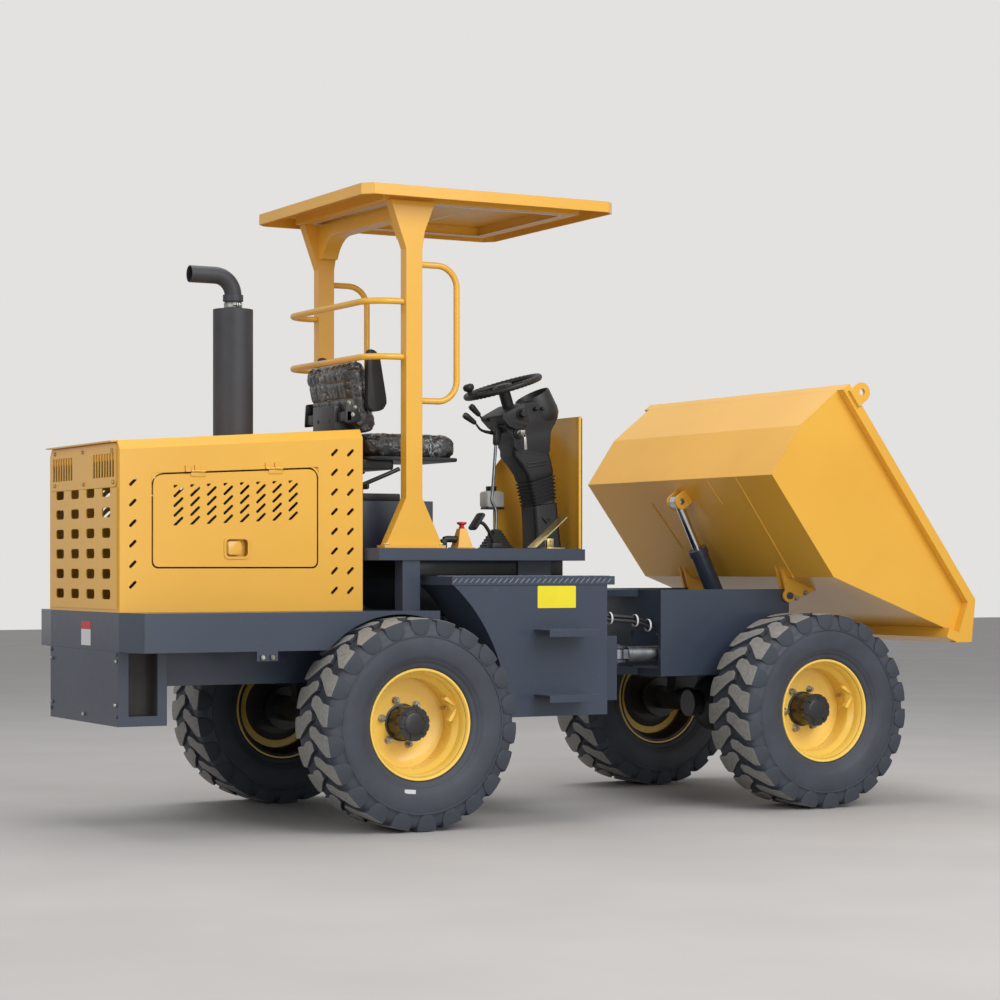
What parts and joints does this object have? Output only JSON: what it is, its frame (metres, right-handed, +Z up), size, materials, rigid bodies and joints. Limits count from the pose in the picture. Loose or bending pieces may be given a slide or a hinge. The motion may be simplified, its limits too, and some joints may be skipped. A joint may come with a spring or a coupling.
{
  "type": "compact articulated dump truck",
  "caption": "Small articulated site dumper with a forward-tipping skip, rear engine hood, open platform, canopy and lugged tyres.",
  "frame": {"origin": "centre of the footprint on the ground", "axes": "+X forward to the skip, +Y to the driver's left, +Z up"},
  "size_m": [3.9181, 1.644, 2.5856],
  "materials": {
    "yellow_paint": "gloss",
    "grey_paint": "satin",
    "black_casting": "satin",
    "exhaust_steel": "satin",
    "seat_vinyl": "satin",
    "black_plastic": "matte",
    "clear_plastic": "gloss",
    "rod_chrome": "polished",
    "tyre_rubber": "matte",
    "rim_paint": "gloss"
  },
  "bodies": {
    "rear_frame": {"rear_chassis": "grey_paint", "rear_box": "grey_paint", "hood_shell": "yellow_paint", "hood_grille": "yellow_paint", "vent_plate": "yellow_paint", "engine_block": "black_casting", "drive_line": "black_casting", "rear_axle": "black_casting", "muffler": "exhaust_steel", "platform": "grey_paint", "tank_right": "grey_paint", "tank_left": "grey_paint", "canopy_frame": "yellow_paint", "canopy_roof": "yellow_paint", "hand_rails": "yellow_paint", "seat_base": "grey_paint", "seat_cushion": "seat_vinyl", "seat_back": "seat_vinyl", "armrests": "seat_vinyl", "steering_column": "black_plastic", "dash_pod": "black_plastic", "front_guard": "yellow_paint", "floor_controls": "black_plastic", "reservoir": "clear_plastic"},
    "front_frame": {"front_chassis": "grey_paint", "pivot_pin": "rod_chrome", "front_axle": "black_casting"},
    "skip": {"skip_shell": "yellow_paint", "skip_rim": "yellow_paint", "skip_brackets": "yellow_paint"},
    "tip_barrel": {"tip_barrel": "grey_paint"},
    "tip_rod": {"tip_rod": "rod_chrome"},
    "steer_barrel": {"steer_barrel": "grey_paint"},
    "steer_rod": {"steer_rod": "rod_chrome"},
    "steering_wheel": {"steering_wheel": "black_plastic"},
    "door_right": {"door_right": "yellow_paint"},
    "door_left": {"door_left": "yellow_paint"},
    "wheel_rr": {"tyre_rr": "tyre_rubber", "rim_rr": "rim_paint"},
    "wheel_rl": {"tyre_rl": "tyre_rubber", "rim_rl": "rim_paint"},
    "wheel_fr": {"tyre_fr": "tyre_rubber", "rim_fr": "rim_paint"},
    "wheel_fl": {"tyre_fl": "tyre_rubber", "rim_fl": "rim_paint"}
  },
  "joints": [
    {"name": "articulation", "type": "hinge", "parent": "rear_frame", "child": "front_frame", "pos_m": [0.37914, 0, 0.76], "axis": [0, 0, 1], "range_deg": [-25, 25]},
    {"name": "steer_barrel_swing", "type": "hinge", "parent": "rear_frame", "child": "steer_barrel", "pos_m": [0.36914, -0.33, 0.666], "axis": [0, 0, 1], "range_deg": [-25.5, 25.5]},
    {"name": "steer_rod_slide", "type": "slide", "parent": "steer_barrel", "child": "steer_rod", "axis": [1, 0, 0], "range_m": [-0.142, 0.142]},
    {"name": "skip_tip", "type": "hinge", "parent": "front_frame", "child": "skip", "pos_m": [1.21914, 0, 0.915], "axis": [0, 1, 0], "range_deg": [-53.4, 1.6]},
    {"name": "tip_barrel_swing", "type": "hinge", "parent": "front_frame", "child": "tip_barrel", "pos_m": [1.24914, 0, 0.624], "axis": [0, 1, 0], "range_deg": [-37.5, 1.5]},
    {"name": "tip_rod_slide", "type": "slide", "parent": "tip_barrel", "child": "tip_rod", "axis": [-0.4423, 0, 0.8968], "range_m": [-0.168, 0.006]},
    {"name": "steering_wheel_turn", "type": "hinge", "parent": "rear_frame", "child": "steering_wheel", "pos_m": [-0.00886, 0, 1.812], "axis": [-0.309, 0, 0.9511], "continuous": true},
    {"name": "door_right_lift", "type": "hinge", "parent": "rear_frame", "child": "door_right", "pos_m": [-1.63286, -0.42, 1.41854], "axis": [-0.9986, 0, -0.0523], "range_deg": [0, 85]},
    {"name": "door_left_lift", "type": "hinge", "parent": "rear_frame", "child": "door_left", "pos_m": [-1.63286, 0.42, 1.41854], "axis": [0.9986, 0, 0.0523], "range_deg": [0, 85]},
    {"name": "wheel_rr_roll", "type": "hinge", "parent": "rear_frame", "child": "wheel_rr", "pos_m": [-0.82086, -0.665, 0.4225], "axis": [0, 1, 0], "continuous": true},
    {"name": "wheel_rl_roll", "type": "hinge", "parent": "rear_frame", "child": "wheel_rl", "pos_m": [-0.82086, 0.665, 0.4225], "axis": [0, 1, 0], "continuous": true},
    {"name": "wheel_fr_roll", "type": "hinge", "parent": "front_frame", "child": "wheel_fr", "pos_m": [1.13914, -0.665, 0.4225], "axis": [0, 1, 0], "continuous": true},
    {"name": "wheel_fl_roll", "type": "hinge", "parent": "front_frame", "child": "wheel_fl", "pos_m": [1.13914, 0.665, 0.4225], "axis": [0, 1, 0], "continuous": true}
  ],
  "couplings": [
    {"joint": "steer_barrel_swing", "follows": "articulation", "ratio": 1},
    {"joint": "steer_rod_slide", "follows": "articulation", "m_per_rad": 0.3186},
    {"joint": "tip_barrel_swing", "follows": "skip_tip", "ratio": 0.69174},
    {"joint": "tip_rod_slide", "follows": "skip_tip", "m_per_rad": 0.17873}
  ]
}
